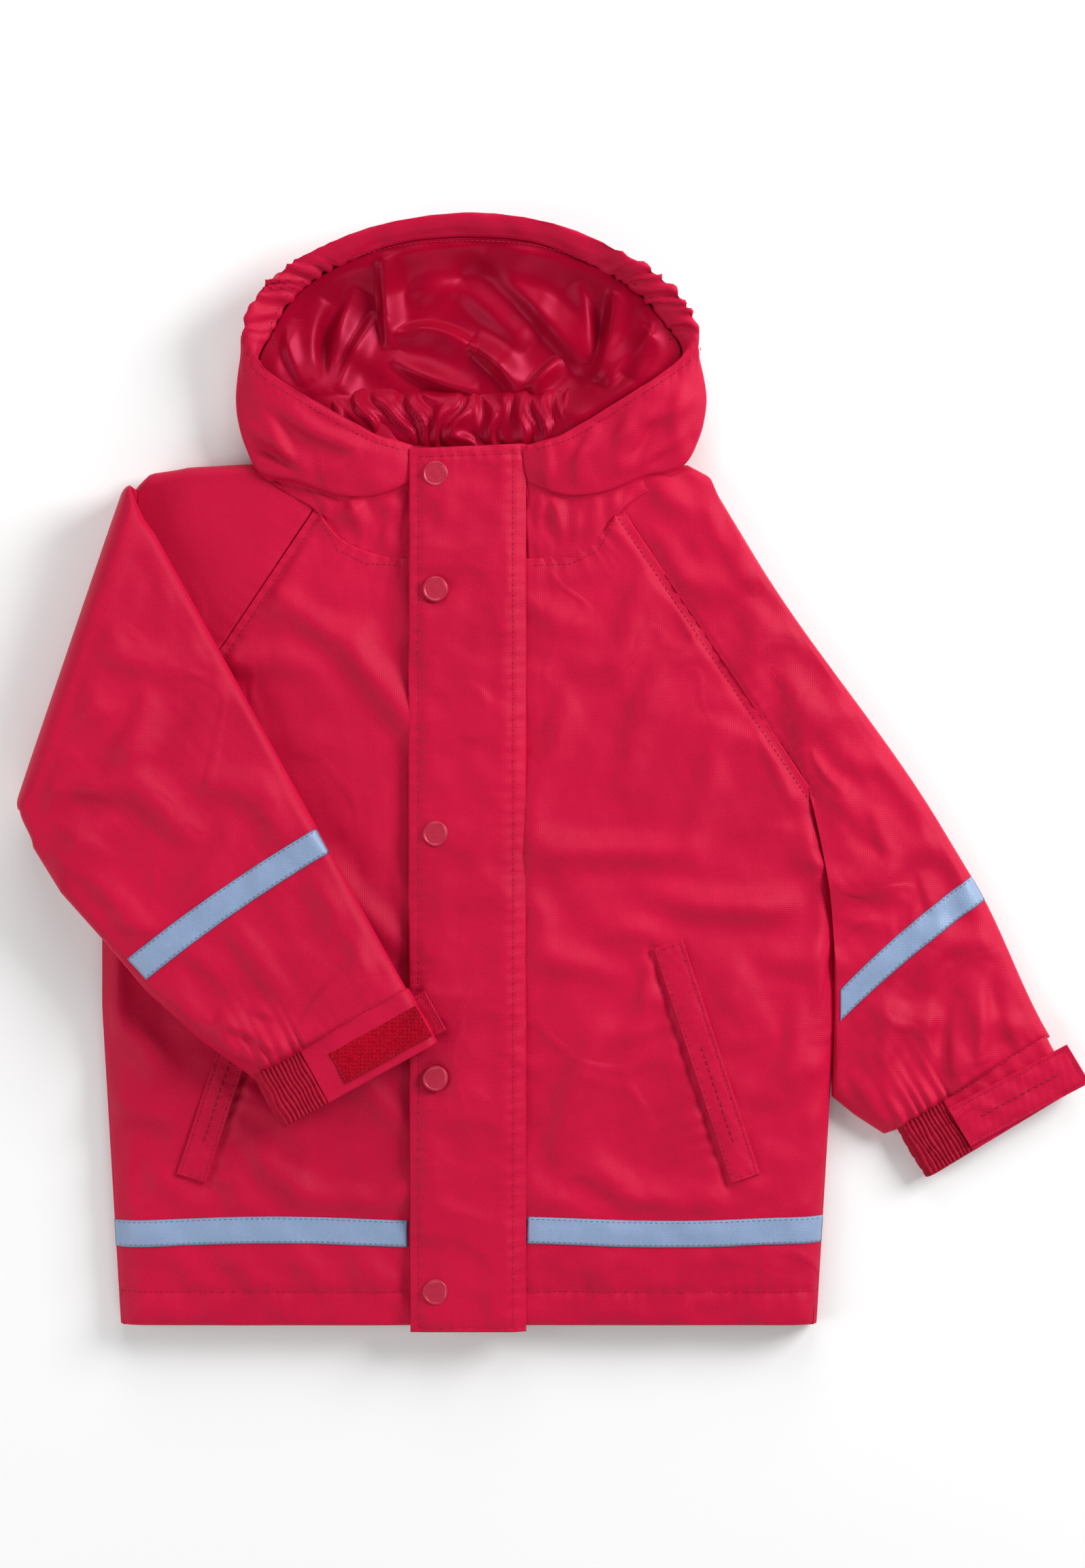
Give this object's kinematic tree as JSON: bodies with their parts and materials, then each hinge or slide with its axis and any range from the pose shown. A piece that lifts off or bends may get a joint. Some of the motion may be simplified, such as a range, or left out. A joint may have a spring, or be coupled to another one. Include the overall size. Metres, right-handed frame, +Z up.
{
  "type": "hooded rain jacket",
  "caption": "Red lined rain jacket with a hood, laid flat on its back, with a snap storm flap over the zip, reflective tape and one sleeve folded across the front.",
  "frame": {"origin": "on the surface the jacket lies on, under the middle of its body, halfway from the hem to the top of the storm flap", "axes": "+Y from the hem to the hood, +X towards the wearer's left, +Z up out of the front of the jacket"},
  "size_m": [0.6221, 0.6476, 0.0411],
  "materials": {
    "shell": "fine plain-weave coated nylon, soft sheen",
    "lining": "smooth satin lining",
    "elastic": "gathered shell cloth over elastic",
    "loop": "fuzzy loop side of a hook-and-loop fastener",
    "tape": "blue-grey glass-bead reflective tape",
    "zip": "woven zip tape and moulded teeth",
    "snap": "glossy moulded snap fastener"
  },
  "bodies": {
    "torso": {"back_panel": "shell", "back_lining": "lining", "front_panel_left": "shell", "front_panel_right": "shell", "front_lining_left": "lining", "front_lining_right": "lining", "side_seam_left": "lining", "side_seam_right": "lining", "left_shoulder_front": "shell", "left_shoulder_back": "shell", "right_shoulder_front": "shell", "right_shoulder_back": "shell", "hem_tape_left": "tape", "hem_tape_right": "tape", "zip_tape_left": "zip", "zip_tape_right": "zip", "zip_chain": "zip", "snap_placket": "shell", "snap_stud_1": "snap", "snap_stud_2": "snap", "snap_stud_3": "snap", "snap_stud_4": "snap", "snap_stud_5": "snap", "pocket_welt_left": "shell", "pocket_welt_right": "shell", "pocket_bag_left": "lining", "pocket_bag_right": "lining", "collar_left": "shell", "collar_right": "shell", "hood_base": "shell", "neck_elastic": "elastic", "hang_loop": "elastic"},
    "flap": {"storm_flap": "shell", "snap_cap_1": "snap", "snap_cap_2": "snap", "snap_cap_3": "snap", "snap_cap_4": "snap", "snap_cap_5": "snap"},
    "zip_slider": {"zip_slider": "snap"},
    "zip_puller": {"zip_puller": "snap"},
    "hood": {"hood_back": "shell", "hood_lining": "lining", "hood_crown": "shell", "hood_side_left": "shell", "hood_side_right": "shell", "hood_brim": "shell"},
    "left_sleeve": {"left_sleeve_back": "shell", "left_sleeve_front": "shell", "left_sleeve_tape": "tape", "left_cuff_band": "shell", "left_cuff_elastic": "elastic", "left_loop_patch": "loop"},
    "left_cuff_tab": {"left_cuff_tab": "shell"},
    "right_sleeve": {"right_sleeve_front": "shell", "right_sleeve_back": "shell", "right_sleeve_tape": "tape", "right_cuff_band": "shell", "right_cuff_elastic": "elastic", "right_cuff_tab": "shell", "right_loop_patch": "loop"}
  },
  "joints": [
    {"name": "right_sleeve_fold", "type": "hinge", "parent": "torso", "child": "right_sleeve", "pos_m": [-0.2027, 0.2339, 0.0223], "axis": [-0.3223, -0.9466, 0], "range_deg": [0, 176]},
    {"name": "left_sleeve_fold", "type": "hinge", "parent": "torso", "child": "left_sleeve", "pos_m": [0.2183, 0.06, 0.02], "axis": [0, -1, 0], "range_deg": [0, 165]},
    {"name": "storm_flap_open", "type": "hinge", "parent": "torso", "child": "flap", "pos_m": [0.0344, 0, 0.0233], "axis": [0, 1, 0], "range_deg": [0, 100]},
    {"name": "zip_slide", "type": "slide", "parent": "torso", "child": "zip_slider", "axis": [0, -1, 0], "range_m": [0, 0.44]},
    {"name": "zip_puller_swing", "type": "hinge", "parent": "zip_slider", "child": "zip_puller", "pos_m": [0.02, 0.2275, 0.0205], "axis": [0, 0, 1], "range_deg": [-25, 25]},
    {"name": "hood_lift", "type": "hinge", "parent": "torso", "child": "hood", "pos_m": [0.002, 0.2885, 0.0312], "axis": [1, 0, 0], "range_deg": [0, 60]},
    {"name": "left_cuff_tab_peel", "type": "hinge", "parent": "left_sleeve", "child": "left_cuff_tab", "pos_m": [0.28595, -0.14145, 0.0167], "axis": [0.5165, -0.8563, 0], "range_deg": [0, 178]}
  ],
  "couplings": [
    {"joint": "storm_flap_open", "follows": "right_sleeve_fold", "ratio": 0.56}
  ]
}
